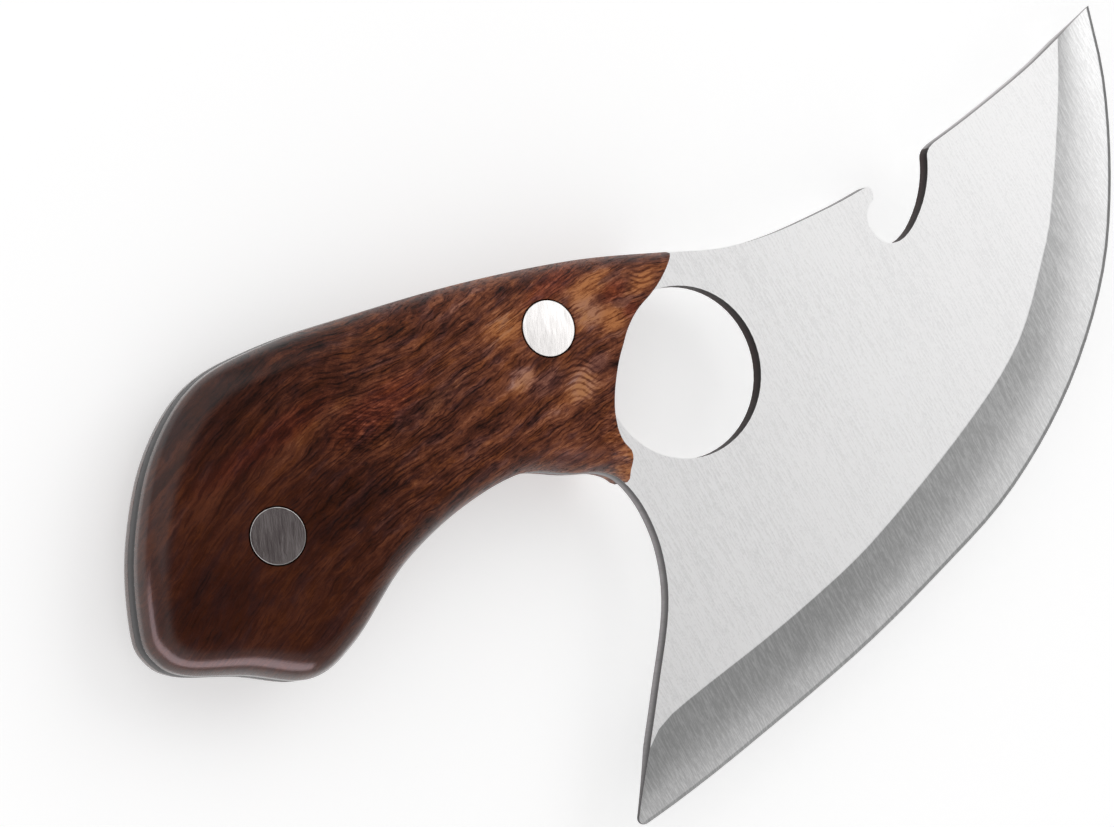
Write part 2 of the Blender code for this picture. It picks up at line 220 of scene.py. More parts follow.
def mm(*sizes):
    return tuple(size / 1000 for size in sizes)


# Brushed lines, for every steel surface
def brushLines():
    group = bpy.data.node_groups.new("brushLines", "ShaderNodeTree")
    face = group.interface
    face.new_socket("Vector", in_out="INPUT", socket_type="NodeSocketVector")
    face.new_socket("Turn", in_out="INPUT", socket_type="NodeSocketVector")
    face.new_socket("Fine size", in_out="INPUT", socket_type="NodeSocketVector")
    face.new_socket("Coarse size", in_out="INPUT", socket_type="NodeSocketVector")
    face.new_socket("Fine", in_out="OUTPUT", socket_type="NodeSocketFloat")
    face.new_socket("Coarse", in_out="OUTPUT", socket_type="NodeSocketFloat")
    given = group.nodes.new("NodeGroupInput").outputs
    result = group.nodes.new("NodeGroupOutput").inputs
    place, turn, fineSize, coarseSize = given[0], given[1], given[2], given[3]
    fine = clouds(group, laid(group, place, fineSize, turn), detail=2.0, roughness=0.55)
    coarse = clouds(group, laid(group, place, coarseSize, turn), detail=2.5, roughness=0.6)
    group.links.new(fine, result[0])
    group.links.new(coarse, result[1])
    return group


brushGroup = brushLines()


def brushed(tree, place, look):
    # Both kinds of lines, with the sizes and the turn that a finish gives them
    return put(tree, "ShaderNodeGroup", {
        0: place,
        1: (0, 0, look["brushTurn"]),
        2: look["fineLine"],
        3: look["coarseLine"],
    }, node_tree=brushGroup).outputs


def roughen(tree, shader, height, strength, distance):
    # Gives the shader a fine relief
    bump = put(tree, "ShaderNodeBump", {
        "Strength": strength,
        "Distance": distance,
        "Height": height,
    })
    tree.links.new(bump.outputs[0], shader.inputs["Normal"])


bladeLook = {
    "colour": (0.98, 0.98, 0.98),
    "roughness": (0.30, 0.10),  # and what the lines add
    "anisotropy": 0.65,
    "brushTurn": math.radians(-4),  # from straight across the knife
    "fineLine": mm(0.14, 1.3, 1.0),
    "coarseLine": mm(0.32, 4.6, 2.0),
    "lineLimit": (-0.18, 0.26),  # the darkest and the palest line
    "lineShare": (0.34, 0.26),  # how far the lines show on the flat, and what the grind adds
    "speckle": (mm(0.26, 0.32, 1.0), 0.94, 1.06),
    "haze": (mm(14, 22, 10), 0.97, 1.01),
    "relief": (0.05, 0.00002),
    # Depths below the flat at which the grind and the fine bevel set in
    "grindStart": (0.000004, 0.000025),
    "grindDepth": 0.00088,
    "fineStart": (0.000895, 0.000905),
    # From the heel to the point, as a sum of shares of x and y
    "pointWay": (0.75, 0.66),
    "pointReach": (-0.045, 0.075),
    # Painted shade and light on the grind and the fine bevel: shares of the flat's tone, at the
    # heel and what the point adds
    "grindPaintedShade": (0.47, 0.33),  # painted shade at the top of the grind
    "grindPaintedLight": (0.73, 0.25),  # painted light near the edge
    "grindTurn": (6.0, 5.0),  # how late the one passes into the other, at both ends
    "fineBevelPaintedShade": (0.60, 0.34),  # painted shade on the fine bevel, at both ends too
}


def bladeSteel():
    look = bladeLook
    made, tree, shader = newMaterial("bladeSteel")
    place = put(tree, "ShaderNodeTexCoord").outputs["Object"]
    lines = brushed(tree, place, look)
    x, y, z = put(tree, "ShaderNodeSeparateXYZ", {0: place}).outputs

    # How far the surface has dropped below the flat, from 0 there
    height = calc(tree, "ABSOLUTE", calc(tree, "SUBTRACT", z, middle))
    drop = calc(tree, "SUBTRACT", plateHalf, height)
    ground = spanOf(tree, drop, *look["grindStart"])
    across = calc(tree, "DIVIDE", drop, look["grindDepth"])
    bevel = spanOf(tree, drop, *look["fineStart"])

    # Painted shade on the grind: dark at its top, lighter near the edge and towards the point
    # of the blade, and darker again on the fine bevel
    alongX, alongY = look["pointWay"]
    along = calc(tree, "MULTIPLY_ADD", x, alongX, calc(tree, "MULTIPLY", y, alongY))
    point = spanOf(tree, along, *look["pointReach"])
    (dark, darkRise), (light, lightRise) = look["grindPaintedShade"], look["grindPaintedLight"]
    dark = calc(tree, "MULTIPLY_ADD", point, darkRise, dark)
    light = calc(tree, "MULTIPLY_ADD", calc(tree, "MULTIPLY", point, point), lightRise, light)
    late, early = look["grindTurn"]
    turn = put(tree, "ShaderNodeMix", {0: point, 2: late, 3: early}).outputs[0]
    rise = calc(tree, "POWER", across, turn, clamp=True)
    grind = calc(tree, "MULTIPLY_ADD", rise, calc(tree, "SUBTRACT", light, dark), dark)
    low, high = look["fineBevelPaintedShade"]
    paintedBevelShade = put(tree, "ShaderNodeMix", {0: point, 2: low, 3: high}).outputs[0]

    tone = put(tree, "ShaderNodeMix", {0: ground, 2: 1.0, 3: grind}).outputs[0]
    tone = put(tree, "ShaderNodeMix", {0: bevel, 2: tone, 3: paintedBevelShade}).outputs[0]
    flatShare, groundShare = look["lineShare"]
    streak = calc(tree, "MULTIPLY_ADD", ground, groundShare, flatShare)
    fine = calc(tree, "SUBTRACT", lines["Fine"], 0.5)
    coarse = calc(tree, "SUBTRACT", lines["Coarse"], 0.5)
    mixed = calc(tree, "ADD", coarse, fine)
    mixed = spanOf(tree, mixed, *look["lineLimit"], *look["lineLimit"])
    tone = calc(tree, "MULTIPLY", tone, calc(tree, "MULTIPLY_ADD", mixed, streak, 1.0))
    size, low, high = look["speckle"]
    speckle = clouds(tree, laid(tree, place, size), detail=2.0, roughness=0.6)
    tone = calc(tree, "MULTIPLY", tone, spanOf(tree, speckle, 0.2, 0.8, low, high))
    size, low, high = look["haze"]
    haze = clouds(tree, laid(tree, place, size), detail=2.0)
    tone = calc(tree, "MULTIPLY", tone, spanOf(tree, haze, 0.3, 0.7, low, high))
    colour = tint(tree, 1.0, (*look["colour"], 1), tone, "MULTIPLY")
    tree.links.new(colour, shader.inputs["Base Color"])

    smooth, added = look["roughness"]
    tree.links.new(calc(tree, "MULTIPLY_ADD", mixed, added, smooth), shader.inputs["Roughness"])
    roughen(tree, shader, lines["Fine"], *look["relief"])
    shader.inputs["Metallic"].default_value = 1.0
    shader.inputs["Anisotropic"].default_value = look["anisotropy"]
    tangent = put(tree, "ShaderNodeTangent", direction_type="UV_MAP", uv_map="flatLay")
    tree.links.new(tangent.outputs[0], shader.inputs["Tangent"])
    return made


wallLook = {
    "satin": ((0.30, 0.285, 0.29), 0.30),  # colour and roughness
    # painted shade: the near-black colour of the cut walls
    "dark": ((0.046, 0.031, 0.030), 0.42),
    "brushTurn": 0,
    "fineLine": mm(0.25, 0.25, 2.0),
    "coarseLine": mm(1.2, 1.2, 3.0),
    "lineShare": 0.5,
    "lineRoughness": 0.12,
    "relief": (0.3, 0.00003),
    "butt": (-0.050, -0.030, 0.28),  # painted shade darkens the tang's end
    "top": (-0.6, 0.7, 0.30),  # and painted shade darkens the upper part of every wall
    "spine": (0.050, 0.066, 2.0),  # painted light brightens the spine towards the point
}


def wallSteel(name, finishAndShade):
    # Edges of the plate, ground across their thickness
    look = wallLook
    colour, roughness = look[finishAndShade]
    made, tree, shader = newMaterial(name)
    place = put(tree, "ShaderNodeTexCoord").outputs["Object"]
    lines = brushed(tree, place, look)
    mixed = calc(tree, "ADD", lines["Fine"], lines["Coarse"])
    tone = calc(tree, "MULTIPLY_ADD", mixed, look["lineShare"], 1 - look["lineShare"])
    x, y, z = put(tree, "ShaderNodeSeparateXYZ", {0: place}).outputs
    # Painted shade at the tang's end and on the upper part of each wall, painted light on the
    # spine towards the point
    start, end, shade = look["butt"]
    butt = spanOf(tree, x, start, end, shade, 1.0)
    start, end, shade = look["top"]
    up = calc(tree, "SUBTRACT", z, middle)
    top = spanOf(tree, up, plateHalf * start, plateHalf * end, 1.0, shade)
    start, end, shine = look["spine"]
    spine = spanOf(tree, x, start, end, 1.0, shine)
    tone = calc(tree, "MULTIPLY", tone, calc(tree, "MULTIPLY", butt, top))
    tone = calc(tree, "MULTIPLY", tone, spine)
    tree.links.new(tint(tree, 1.0, (*colour, 1), tone, "MULTIPLY"), shader.inputs["Base Color"])
    rough = calc(tree, "MULTIPLY_ADD", mixed, look["lineRoughness"], roughness)
    tree.links.new(rough, shader.inputs["Roughness"])
    roughen(tree, shader, mixed, *look["relief"])
    shader.inputs["Metallic"].default_value = 1.0
    return made


bladeShape = {
    "cornerBreak": 0.00010,
    "cornerAngle": math.radians(75),  # sharper turns than this are broken
    "creaseAngle": math.radians(18),  # and from here on they are shaded as edges
    "flatAngle": math.radians(0.1),  # faces that turn less than this are one flat
    "wallTilt": 0.55,  # a wall's normal points up or down by at most this
    "holeCentre": (0.00091, 0.00383),
    "holeReach": 0.0128,
    "notchLow": (0.0395, -0.0020),
    "notchHigh": (0.0540, 0.0080),
    "layScale": 5,
}


def makeBlade():
    shape = bladeShape
    blade = copyNode("blade", "steelBlade")
    # One face for each flat, so that the broken corners run clean
    selectFaces(blade, lambda face: abs(face.normal.z) > flatTilt)
    bpy.ops.mesh.dissolve_limited(angle_limit=shape["flatAngle"])
    leaveEdit()
    useModifier(
        blade,
        "BEVEL",
        width=shape["cornerBreak"],
        segments=1,
        limit_method="ANGLE",
        angle_limit=shape["cornerAngle"],
    )

    # Flats and bevels, walls, and the cut walls of the hole and the notch, darkened with
    # painted shade
    blade.data.materials.append(bladeSteel())
    blade.data.materials.append(wallSteel("plateEdge", "satin"))
    blade.data.materials.append(wallSteel("cutWallPaintedShade", "dark"))
    hole = Vector(shape["holeCentre"])
    low, high = Vector(shape["notchLow"]), Vector(shape["notchHigh"])
    for face in blade.data.polygons:
        spot = face.center.xy
        if abs(face.normal.z) > shape["wallTilt"]:
            face.material_index = 0
        elif (spot - hole).length < shape["holeReach"]:
            face.material_index = 2
        elif low.x < spot.x < high.x and low.y < spot.y < high.y:
            face.material_index = 2
        else:
            face.material_index = 1

    # The brushed gloss takes its direction from a map laid flat over the blade
    lay = blade.data.uv_layers.new(name="flatLay")
    scale = shape["layScale"]
    for loop in blade.data.loops:
        spot = blade.data.vertices[loop.vertex_index].co
        lay.data[loop.index].uv = (spot.x * scale + 0.5, spot.y * scale + 0.5)

    # Smooth within the hollow grind, crisp along its upper line
    takeUp(blade)
    bpy.ops.object.shade_smooth()
    bpy.ops.object.mode_set(mode="EDIT")
    bpy.ops.mesh.select_mode(type="EDGE")
    bpy.ops.mesh.select_all(action="DESELECT")
    mesh = bmesh.from_edit_mesh(blade.data)
    for edge in mesh.edges:
        if len(edge.link_faces) < 2:
            continue
        flats = [abs(face.normal.z) > flatTilt for face in edge.link_faces]
        turn = edge.calc_face_angle(0)
        edge.select_set(turn > shape["creaseAngle"] or flats[0] != flats[1])
    bmesh.update_edit_mesh(blade.data)
    bpy.ops.mesh.mark_sharp()
    leaveEdit()
    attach(blade, "root")
    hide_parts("blade")
    return blade


makeBlade()
print("blade done")

# Wooden scales
scaleShape = {
    "seat": 0.00001,  # clearance from the plate
    "fit": 0.0003,  # what the solids keep free there
    "thickness": 0.0080,
    "wall": 0.0007,
    "roundWidth": 0.0052,
    "roundRows": 9,
    "edgeBreak": 0.00045,  # along the upright front
    "edgeRows": 5,
    "cornerSpot": (0.0249, -0.0029),  # where the front starts and ends
    "lobeSpot": (-0.0002, -0.0258),
    "crest": (-0.0100, -0.0040),
    "length": 0.0735,
    "rise": 0.0230,
    "buttFall": 0.45,
    "frontFall": 0.25,
    "sideFall": 0.30,
    "outlineStep": 0.00055,
    "crownStep": 0.0010,
    "cornerAngle": math.radians(38),  # the outline's true corners turn by more than this
    "softened": (0.0010, 0.0016),  # how deep in the rounding softens, and over what width
    "runOn": 40,  # by how many steps the grip's line runs on at both ends for that
    "leastAway": 0.0001,
    # How near a point may come to the edges, as shares of its own inset
    "frontShare": 0.98,
    "gripShare": 0.70,
    "roundShare": 0.985,
    "breakShare": 1.2,  # and as a share of the front's break
    # How near one another, as shares of the inset or the step
    "breakSpacing": 0.60,
    "roundSpacing": 0.75,
    "crownSpacing": 0.60,
    "netReach": 0.0000001,
    "shadeAngle": math.radians(40),
    "pocket": 0.00422,
    "bore": 0.0028,
    "headDepth": 0.0020,
    "pocketOverrun": 0.010,
    "boreOverrun": 0.001,
}


def crownHeight(x, y):
    # Height of the wood's crown above the plate's middle, for numbers or arrays
    shape = scaleShape
    along = x - frontAxis.x - shape["crest"][0]
    across = (y - frontAxis.y - shape["crest"][1]) / shape["rise"]
    butt = shape["buttFall"] * (along / (shape["length"] + shape["crest"][0])) ** 2
    front = shape["frontFall"] * (along / (shape["cornerSpot"][0] - shape["crest"][0])) ** 2
    fall = np.where(along < 0, butt, front) + shape["sideFall"] * across ** 2
    return plateHalf + shape["fit"] + shape["thickness"] * (1 - fall)


def outlineOf(node, side):
    # The outer line of a solid's inner face, as points in order
    shell = bmesh.new()
    shell.from_mesh(nodes[node].data)
    bmesh.ops.remove_doubles(shell, verts=shell.verts, dist=weldReach)
    floor = {face for face in shell.faces if face.normal.z * side < -flatTilt}
    nextOf = {}
    for face in floor:
        for loop in face.loops:
            if not any(other in floor for other in loop.edge.link_faces if other is not face):
                nextOf[loop.vert] = loop.link_loop_next.vert
    loops = []
    while nextOf:
        start, following = nextOf.popitem()
        loop = [start]
        while following is not start:
            loop.append(following)
            following = nextOf.pop(following)
        loops.append(loop)
    longest = max(loops, key=len)
    points = [vert.co.xy.copy() for vert in longest]
    shell.free()
    turned = sum(a.cross(b) for a, b in zip(points, points[1:] + points[:1]))
    return points if turned > 0 else points[::-1]


def refined(points, step):
    # A finer line through the points, rounded except at true corners
    cornerAngle = scaleShape["cornerAngle"]
    count = len(points)
    fine = []
    for index in range(count):
        a, b, c, d = (points[(index + shift) % count] for shift in (-1, 0, 1, 2))
        before, span, after = b - a, c - b, d - c
        if before.angle(span) > cornerAngle:
            before = span
        if span.angle(after) > cornerAngle:
            after = span
        # Slopes at both ends, weighed for uneven spacing
        length = span.length
        leave = (before.normalized() * length + span.normalized() * before.length).normalized()
        arrive = (after.normalized() * length + span.normalized() * after.length).normalized()
        parts = max(1, round(length / step))
        for part in range(parts):
            t = part / parts
            fine.append(
                b * (2 * t ** 3 - 3 * t ** 2 + 1)
                + c * (3 * t ** 2 - 2 * t ** 3)
                + leave * length * (t ** 3 - 2 * t ** 2 + t)
                + arrive * length * (t ** 3 - t ** 2)
            )
    return np.array([tuple(point) for point in fine])


def isInside(places, line):
    # Whether each place lies within a closed line
    crossings = np.zeros(len(places), int)
    for a, b in zip(line, np.roll(line, -1, axis=0)):
        if a[1] != b[1]:
            between = (a[1] > places[:, 1]) != (b[1] > places[:, 1])
            crossing = a[0] + (b[0] - a[0]) * (places[:, 1] - a[1]) / (b[1] - a[1])
            crossings += between & (places[:, 0] < crossing)
    return crossings % 2 == 1


def depthFrom(places, path):
    # Distance of each place from an open path
    distance = np.full(len(places), np.inf)
    for a, b in zip(path, path[1:]):
        side = b - a
        share = np.clip(((places - a) @ side) / (side @ side), 0, 1)
        foot = a + share[:, None] * side
        distance = np.minimum(distance, np.hypot(*(places - foot).T))
    return distance


def softDepth(places, path):
    # The same distance, but without the ridge halfway between two edges. Each stretch counts
    # by the fifth power of its nearness: on a straight edge that adds up to 4/3 / depth ** 4
    shape = scaleShape
    ends = [2 * path[:1] - path[1:2], path[-1:] * 2 - path[-2:-1]]
    run = np.linspace(shape["runOn"], 1, shape["runOn"])[:, None]
    before = path[:1] + (ends[0] - path[:1]) * run
    after = path[-1:] + (ends[1] - path[-1:]) * run[::-1]
    longer = np.concatenate([before, path, after])
    total = np.zeros(len(places))
    for a, b in zip(longer, longer[1:]):
        away = np.hypot(*(places - (a + b) / 2).T)
        total += math.dist(a, b) / np.maximum(away, shape["leastAway"]) ** 5
    soft = (4 / 3 / total) ** 0.25
    exact = depthFrom(places, path)
    start, width = shape["softened"]
    share = np.clip((exact - start) / width, 0, 1)
    share = share ** 2 * (3 - 2 * share)
    return exact + (soft - exact) * share


def inwardOf(path):
    # The direction into the wood at each point of a path that runs to the left round it
    chord = np.gradient(path, axis=0)
    inward = np.stack([-chord[:, 1], chord[:, 0]], axis=1)
    return inward / np.hypot(*inward.T)[:, None]


def quarterRows(width, rows):
    # Insets that divide a rounding into equal turns
    return [width * (1 - math.cos(math.pi / 2 * row / rows)) for row in range(1, rows + 1)]


def thinned(places, kept, spacing):
    # Leaves out the places that come too near one another or those kept before
    cells = {}

    def cellOf(place):
        return int(place[0] // spacing), int(place[1] // spacing)

    def isClear(place):
        column, row = cellOf(place)
        near = [(column + right, row + up) for right in (-1, 0, 1) for up in (-1, 0, 1)]
        others = [other for cell in near for other in cells.get(cell, ())]
        return all(math.dist(place, other) > spacing for other in others)

    for place in np.concatenate(kept):
        cells.setdefault(cellOf(place), []).append(place)
    left = []
    for place in places:
        if isClear(place):
            left.append(place)
            cells.setdefault(cellOf(place), []).append(place)
    return np.array(left).reshape(-1, 2)


def crownPlaces(line, grip, front):
    # Rows that follow the rounded grip and the front's broken edge, then a staggered grid
    shape = scaleShape
    kept = [line]
    clear = shape["edgeBreak"] * shape["breakShare"]
    for inset in quarterRows(shape["edgeBreak"], shape["edgeRows"]):
        places = front + inwardOf(front) * inset
        fits = isInside(places, line)
        fits &= depthFrom(places, front) > inset * shape["frontShare"]
        fits &= depthFrom(places, grip) > inset * shape["gripShare"]
        kept.append(thinned(places[fits], kept, inset * shape["breakSpacing"]))
    for inset in quarterRows(shape["roundWidth"], shape["roundRows"]):
        places = grip + inwardOf(grip) * inset
        fits = isInside(places, line)
        fits &= depthFrom(places, grip) > inset * shape["roundShare"]
        fits &= depthFrom(places, front) > clear
        spacing = min(inset, shape["outlineStep"]) * shape["roundSpacing"]
        kept.append(thinned(places[fits], kept, spacing))
    low, high = line.min(axis=0), line.max(axis=0)
    step = shape["crownStep"]
    columns, rows = (int(size) + 1 for size in (high - low) / step)
    grid = np.array([
        low + np.array([column + row % 2 / 2, row]) * step
        for column in range(columns)
        for row in range(rows)
    ])
    fits = isInside(grid, line) & (depthFrom(grid, grip) > step / 2)
    fits &= depthFrom(grid, front) > clear
    kept.append(thinned(grid[fits], kept, step * shape["crownSpacing"]))
    return np.concatenate(kept)


def scaleShell(node, name, side):
    # Inset rows would cross in the narrow lobe, so the crown is laid over a net of points
    shape = scaleShape
    line = refined(outlineOf(node, side), shape["outlineStep"])
    corner = np.array(frontAxis) + shape["cornerSpot"]
    lobe = np.array(frontAxis) + shape["lobeSpot"]
    line = np.roll(line, -np.argmin(np.hypot(*(line - corner).T)), axis=0)
    turn = int(np.argmin(np.hypot(*(line - lobe).T)))
    grip, front = line[:turn + 1], np.concatenate([line[turn:], line[:1]])
    places = crownPlaces(line, grip, front)

    # Rounded over along the grip; upright with a broken edge along the front
    depth = np.clip(softDepth(places, grip) / shape["roundWidth"], 0, 1)
    depth[:turn + 1] = 0
    near = np.clip(depthFrom(places, front) / shape["edgeBreak"], 0, 1)
    broken = shape["edgeBreak"] * (1 - np.sqrt(1 - (1 - near) ** 2))
    wall = plateHalf + shape["fit"] + shape["wall"]
    crown = crownHeight(places[:, 0], places[:, 1]) - broken
    height = wall + (crown - wall) * np.sqrt(1 - (1 - depth) ** 2)
    ring = list(range(len(line)))
    spots = [Vector(place) for place in places]
    triangles = delaunay_2d_cdt(spots, [], [ring], 1, shape["netReach"])[2]
    shell = bmesh.new()
    top = [
        shell.verts.new((x, y, middle + side * tall))
        for (x, y), tall in zip(places, height)
    ]
    for triangle in triangles:
        shell.faces.new([top[index] for index in triangle])
    foot = middle + side * (plateHalf + shape["seat"])
    base = [shell.verts.new((x, y, foot)) for x, y in line]
    shell.faces.new(base)
    for index in ring:
        after = (index + 1) % len(ring)
        shell.faces.new((base[index], base[after], top[after], top[index]))
    bmesh.ops.recalc_face_normals(shell, faces=shell.faces)
    data = bpy.data.meshes.new(name)
    shell.to_mesh(data)
    shell.free()
    piece = bpy.data.objects.new(name, data)
    bpy.context.scene.collection.objects.link(piece)
    return piece


def drillBores(piece, side):
    # A bore through the wood at each rivet, with a pocket for the head
    shape = scaleShape
    for axis in (frontAxis, rearAxis):
        seat = float(crownHeight(axis.x, axis.y)) - shape["headDepth"]
        for radius, low, high in (
            (shape["pocket"], seat, seat + shape["pocketOverrun"]),
            (shape["bore"], 0.0, seat + shape["boreOverrun"]),
        ):
            leaveEdit()
            bpy.ops.object.select_all(action="DESELECT")
            bpy.ops.mesh.primitive_cylinder_add(
                vertices=roundSides,
                radius=radius,
                depth=high - low,
                location=(axis.x, axis.y, middle + side * (low + high) / 2),
            )
            drill = bpy.context.active_object
            settle(drill)
            useModifier(piece, "BOOLEAN", operation="DIFFERENCE", object=drill, solver="EXACT")
            bpy.data.objects.remove(drill)


def makeScale(node, name, side, wood):
    piece = scaleShell(node, name, side)
    drillBores(piece, side)
    takeUp(piece)
    bpy.ops.object.shade_smooth_by_angle(angle=scaleShape["shadeAngle"])
    piece.data.materials.append(wood)
    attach(piece, "root")
    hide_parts(node)
    return piece


woodLook = {
    "roughness": (0.34, 0.20, 0.15),  # and what the pores and the fibres add
    "relief": (0.5, 0.00005),
    "fibreRelief": 0.35,  # beside the depth of the pores
    "shine": 0.07,
    # Only the rounded rim is polished: how upright it faces there, and how much shine it gains
    "coatRoughness": 0.20,
    "rim": (0.955, 0.88, 0.0, 0.60),
    "rimFoot": (0.80, 0.45, 0.0, 1.0),
    "rimFade": (-0.030, -0.060, 0.05, 1.0),  # more of it towards the butt
    "rearBend": (-0.049, 7.0),  # behind this x the grain climbs from the butt
    "frontBend": (-0.020, 6.0),  # and in front of this it falls towards the hole
    "fall": ((-0.052, -0.034), (0.024, 0.031), 0.0040),  # it also falls behind the front rivet
    "wander": (  # patterns that push the grain aside, and how far
        ({"size": (20, 8, 9), "detail": 1.0}, 0.0030),
        ({"size": (2.4, 1.5, 2.0), "detail": 1.5}, 0.0008),
    ),
    # Patterns that follow the grain: size and shift in millimetres
    "alongGrain": {
        "bands": {"size": (13, 1.3, 4)},
        "streaks": {
            "size": (4.2, 0.42, 1.6), "shift": (3, 8, 2), "detail": 3.0, "roughness": 0.65,
        },
        "fibres": {"size": (1.5, 0.12, 0.4), "roughness": 0.6},
        "dashes": {"size": (1.3, 0.19, 0.5), "shift": (9, 1, 4), "detail": 1.0},
        "push": {"size": (3.6, 1.0, 2.0), "shift": (4, 2, 8)},
        "shown": {"size": (3.4, 1.2, 2.0), "shift": (7, 3, 6), "roughness": 0.6},
        "patch": {"size": (5, 1.9, 4), "shift": (1, 2, 3)},
        "arcs": {"size": (26, 1.5, 6), "shift": (8, 4, 2), "roughness": 0.6},
    },
    # And those that lie in the block, whichever way the grain runs
    "inBlock": {
        "blotches": {
            "size": (2.3, 1.3, 2.2), "shift": (5, 5, 5), "detail": 3.0, "roughness": 0.6,
            "distortion": 0.5,
        },
        "grit": {"size": (0.36, 0.19, 0.3), "shift": (2, 7, 1), "roughness": 0.7},
        "flecks": {"size": (1.5, 0.38, 1), "turn": math.radians(-34)},
    },
    "poreEdge": (0.57, 0.66),
    "lineGap": 0.00068,
    "linePush": 7.0,
    "lineEdge": (0.15, 0.95),
    "lineShown": (0.42, 0.60),
    "curlGap": 0.00088,
    "curlLean": math.radians(-37),
    "curlWave": (0.0066, 0.00055, -0.0215),  # length, height and middle of the sway
    "curlPush": 4.0,
    "curlEdge": (-0.4, 1.0),
    "violetPatch": (0.54, 0.66, 0.0, 0.85),
    "warmPatch": (0.47, 0.35, 0.0, 0.85),
    "nearHole": (-0.031, -0.021),
    # painted shade darkens the wood from here back to the butt
    "butt": (-0.026, -0.064),
    # Where the figure is set one by one: middle and reach, in millimetres
    "spots": {
        "orange": (
            ((-6.9, 17.4), (3.4, 3.4)),
            ((-6.6, 23.4), (6.0, 1.9)),
            ((0.6, 19.2), (4.2, 1.9)),
            ((-15.9, -0.6), (3.0, 3.6)),
            ((-21.6, 26.0), (5.0, 3.2)),
        ),
        "ruddy": (
            ((-4.3, 20.7), (3.4, 1.8)),
            ((-60.0, 33.6), (17.0, 2.8)),
            ((-44.0, 28.0), (12.0, 4.0)),
            ((-11.5, 26.8), (8.0, 2.4)),
            ((-3.6, 17.0), (2.2, 1.4)),
        ),
        "tan": (
            ((-9.6, 20.6), (3.4, 3.4)),
            ((-16.6, 12.6), (4.0, 3.6)),
            ((-24.0, 18.8), (4.0, 2.0)),
        ),
        "violet": (
            ((-20.8, 16.4), (4.6, 2.4)),
            ((-12.6, 14.0), (3.0, 2.0)),
            ((-36.0, 24.0), (9.0, 2.0)),
        ),
        # Dark patches: partly the wood's own dark figure, partly painted shade near the top
        # edge and the butt
        "duskyFigureAndShade": (
            ((-57.0, 20.4), (12.0, 5.4)),
            ((-58.0, 41.0), (22.0, 5.6)),
            ((-11.0, 29.4), (11.0, 2.2)),
            ((-17.6, 7.5), (4.0, 5.0)),
            ((-80.0, 20.0), (11.0, 8.0)),
        ),
        "arched": (((-64.0, 34.0), (24.0, 9.0)),),
        "curly": (((-16.4, 14.0), (4.4, 5.0)), ((1.2, 19.6), (4.0, 2.6))),
        "flecked": (((-47.0, 27.0), (9.0, 5.5)), ((-16.3, 2.0), (3.4, 9.0))),
    },
    # What each part adds to the tone, which picks the colour
    "tone": 0.55,
    "figure": {"bands": 0.75, "streaks": 0.65, "blotches": 0.75, "fibres": 0.38, "grit": 0.34},
    "fleckShare": 1.2,
    "arcShare": 1.3,
    "curlCalm": -0.45,  # the curls quieten the rest
    "curlShare": -0.31,
    "lineShare": -0.25,
    "poreShare": -0.16,
    "figureFade": (-0.072, -0.040, 0.36, 1.0),  # the figure is faint towards the butt, as part of the painted shade there
    "lift": {
        "orange": 0.27,
        "tan": 0.35,
        "arched": 0.07,
        "nearHole": 0.10,
        "curly": 0.06,
        "violet": -0.06,
        # the dark figure and the painted shade in those patches
        "duskyFigureAndShade": -0.125,
    },
    "colours": (
        (0.00, (0.009, 0.0025, 0.0015)),
        (0.25, (0.040, 0.011, 0.0062)),
        (0.50, (0.109, 0.0308, 0.0165)),
        (0.75, (0.247, 0.080, 0.038)),
        (1.00, (0.485, 0.196, 0.095)),
    ),
    # Violet heartwood, orange and tan sapwood lie in patches between the brown
    "washes": {
        "violet": (0.94, 1.12, 1.60),
        "warm": (1.06, 1.0, 0.74),
        "ruddy": (1.10, 0.86, 0.90),
        "tan": (1.0, 1.13, 1.32),
        # painted shade towards the butt
        "butt": (0.47, 0.42, 0.41),
    },
}


def spotsOf(tree, place, spots):
    # A mask that is 1 in the middle of each spot and fades to 0 at its reach
    total = None
    for (x, y), (wide, high) in spots:
        around = laid(tree, place, mm(wide, high, 1000), shift=mm(x, y, 0))
        away = put(tree, "ShaderNodeVectorMath", {0: around}, operation="LENGTH")
        mask = spanOf(tree, away.outputs["Value"], 1.0, 0.25)
        total = mask if total is None else calc(tree, "MAXIMUM", total, mask)
    return total


def acrossGrain(tree, place, x, y):
    # The grain runs along the handle in a long arch, and wanders a little
    look = woodLook
    (rear, rearBend), (front, frontBend) = look["rearBend"], look["frontBend"]
    behind = calc(tree, "MINIMUM", calc(tree, "SUBTRACT", x, rear), 0.0)
    ahead = calc(tree, "MAXIMUM", calc(tree, "SUBTRACT", x, front), 0.0)
    arch = calc(tree, "MULTIPLY", calc(tree, "MULTIPLY", behind, behind), rearBend)
    arch = calc(tree, "MULTIPLY_ADD", calc(tree, "MULTIPLY", ahead, ahead), frontBend, arch)
    (fallStart, fallEnd), (fallLow, fallHigh), fallBy = look["fall"]
    fall = calc(tree, "MULTIPLY", spanOf(tree, x, fallStart, fallEnd, 0.0, fallBy),
                spanOf(tree, y, fallLow, fallHigh))
    across = calc(tree, "ADD", calc(tree, "ADD", y, arch), fall)
    for settings, reach in look["wander"]:
        across = calc(tree, "MULTIPLY_ADD", patternOf(tree, place, **settings), reach, across)
    return across


def darkLines(tree, across, push, shown):
    # Thin dark lines side by side, which come and go
    look = woodLook
    phase = calc(tree, "MULTIPLY_ADD", push, look["linePush"],
                 calc(tree, "MULTIPLY", across, math.tau / look["lineGap"]))
    lines = spanOf(tree, calc(tree, "SINE", phase), *look["lineEdge"])
    return calc(tree, "MULTIPLY", lines, spanOf(tree, shown, *look["lineShown"]))


